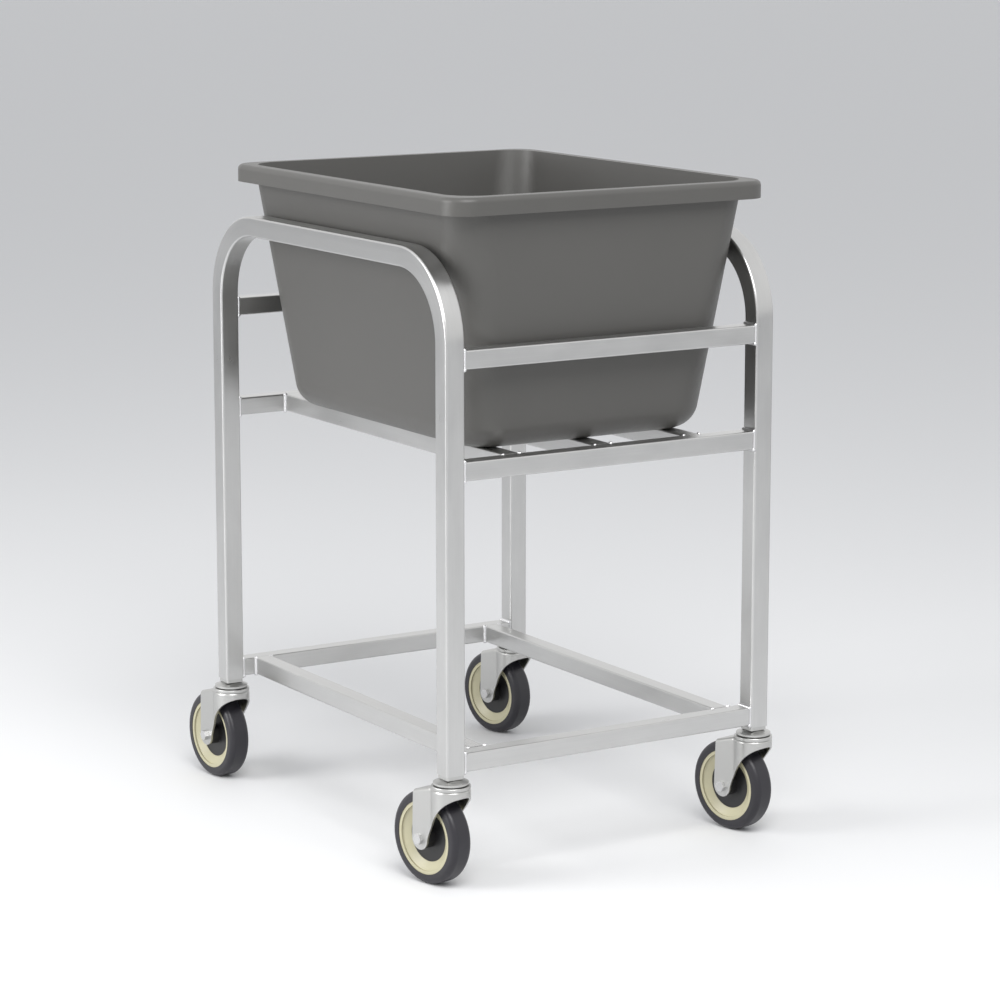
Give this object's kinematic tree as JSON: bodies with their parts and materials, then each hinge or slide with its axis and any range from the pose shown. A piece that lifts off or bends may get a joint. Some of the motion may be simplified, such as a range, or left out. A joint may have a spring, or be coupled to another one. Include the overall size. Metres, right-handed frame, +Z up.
{
  "type": "bulk cart",
  "caption": "Tall cart of welded square tube on swivel casters, carrying a deep tapered plastic tub that lifts out, for moving bulk food.",
  "frame": {"origin": "on the floor, under the middle of the whole cart", "axes": "+X to the right along the cross rails, +Y from the front to the rear along the hoops, +Z up"},
  "size_m": [0.5534, 0.7584, 0.915],
  "materials": {
    "frame_tube": "satin mill finish",
    "weld": "bright weld bead",
    "tub_plastic": "dark grey satin",
    "caster_steel": "zinc plated",
    "bolt_steel": "zinc plated",
    "ball_steel": "polished",
    "bearing_plastic": "smooth",
    "wheel_plastic": "smooth cream",
    "cover_plastic": "black",
    "tyre_rubber": "smooth black"
  },
  "bodies": {
    "frame": {"left_hoop": "frame_tube", "right_hoop": "frame_tube", "front_upper_rail": "frame_tube", "rear_upper_rail": "frame_tube", "front_lower_rail": "frame_tube", "rear_lower_rail": "frame_tube", "front_base_rail": "frame_tube", "rear_base_rail": "frame_tube", "left_tub_bar": "frame_tube", "centre_tub_bar": "frame_tube", "right_tub_bar": "frame_tube", "left_base_bar": "frame_tube", "right_base_bar": "frame_tube", "weld_beads": "weld", "caster_sockets": "caster_steel", "caster_stems": "caster_steel", "upper_raceways": "caster_steel", "raceway_balls": "ball_steel"},
    "tub": {"tub": "tub_plastic"},
    "front_left_swivel": {"front_left_fork": "caster_steel", "front_left_axle_bolt": "bolt_steel", "front_left_axle_nut": "bolt_steel", "front_left_axle_sleeve": "bolt_steel"},
    "front_left_wheel": {"front_left_wheel_core": "wheel_plastic", "front_left_tyre": "tyre_rubber", "front_left_hub_covers": "cover_plastic", "front_left_hub_bearing": "bearing_plastic"},
    "front_right_swivel": {"front_right_fork": "caster_steel", "front_right_axle_bolt": "bolt_steel", "front_right_axle_nut": "bolt_steel", "front_right_axle_sleeve": "bolt_steel"},
    "front_right_wheel": {"front_right_wheel_core": "wheel_plastic", "front_right_tyre": "tyre_rubber", "front_right_hub_covers": "cover_plastic", "front_right_hub_bearing": "bearing_plastic"},
    "rear_left_swivel": {"rear_left_fork": "caster_steel", "rear_left_axle_bolt": "bolt_steel", "rear_left_axle_nut": "bolt_steel", "rear_left_axle_sleeve": "bolt_steel"},
    "rear_left_wheel": {"rear_left_wheel_core": "wheel_plastic", "rear_left_tyre": "tyre_rubber", "rear_left_hub_covers": "cover_plastic", "rear_left_hub_bearing": "bearing_plastic"},
    "rear_right_swivel": {"rear_right_fork": "caster_steel", "rear_right_axle_bolt": "bolt_steel", "rear_right_axle_nut": "bolt_steel", "rear_right_axle_sleeve": "bolt_steel"},
    "rear_right_wheel": {"rear_right_wheel_core": "wheel_plastic", "rear_right_tyre": "tyre_rubber", "rear_right_hub_covers": "cover_plastic", "rear_right_hub_bearing": "bearing_plastic"}
  },
  "joints": [
    {"name": "tub_lift", "type": "slide", "parent": "frame", "child": "tub", "axis": [0, 0, 1], "range_m": [0, 0.3]},
    {"name": "front_left_caster_swivel", "type": "hinge", "parent": "frame", "child": "front_left_swivel", "pos_m": [-0.24123, -0.35239, 0.1556], "axis": [0, 0, 1], "continuous": true},
    {"name": "front_left_wheel_roll", "type": "hinge", "parent": "front_left_swivel", "child": "front_left_wheel", "pos_m": [-0.24825, -0.31524, 0.0635], "axis": [-0.9826, -0.1857, 0], "continuous": true},
    {"name": "front_right_caster_swivel", "type": "hinge", "parent": "frame", "child": "front_right_swivel", "pos_m": [0.25017, -0.35239, 0.1556], "axis": [0, 0, 1], "continuous": true},
    {"name": "front_right_wheel_roll", "type": "hinge", "parent": "front_right_swivel", "child": "front_right_wheel", "pos_m": [0.24315, -0.31524, 0.0635], "axis": [-0.9826, -0.1857, 0], "continuous": true},
    {"name": "rear_left_caster_swivel", "type": "hinge", "parent": "frame", "child": "rear_left_swivel", "pos_m": [-0.24123, 0.27761, 0.1556], "axis": [0, 0, 1], "continuous": true},
    {"name": "rear_left_wheel_roll", "type": "hinge", "parent": "rear_left_swivel", "child": "rear_left_wheel", "pos_m": [-0.2442, 0.3153, 0.0635], "axis": [-0.9969, -0.0785, 0], "continuous": true},
    {"name": "rear_right_caster_swivel", "type": "hinge", "parent": "frame", "child": "rear_right_swivel", "pos_m": [0.25017, 0.27761, 0.1556], "axis": [0, 0, 1], "continuous": true},
    {"name": "rear_right_wheel_roll", "type": "hinge", "parent": "rear_right_swivel", "child": "rear_right_wheel", "pos_m": [0.24315, 0.31476, 0.0635], "axis": [-0.9826, -0.1857, 0], "continuous": true}
  ]
}
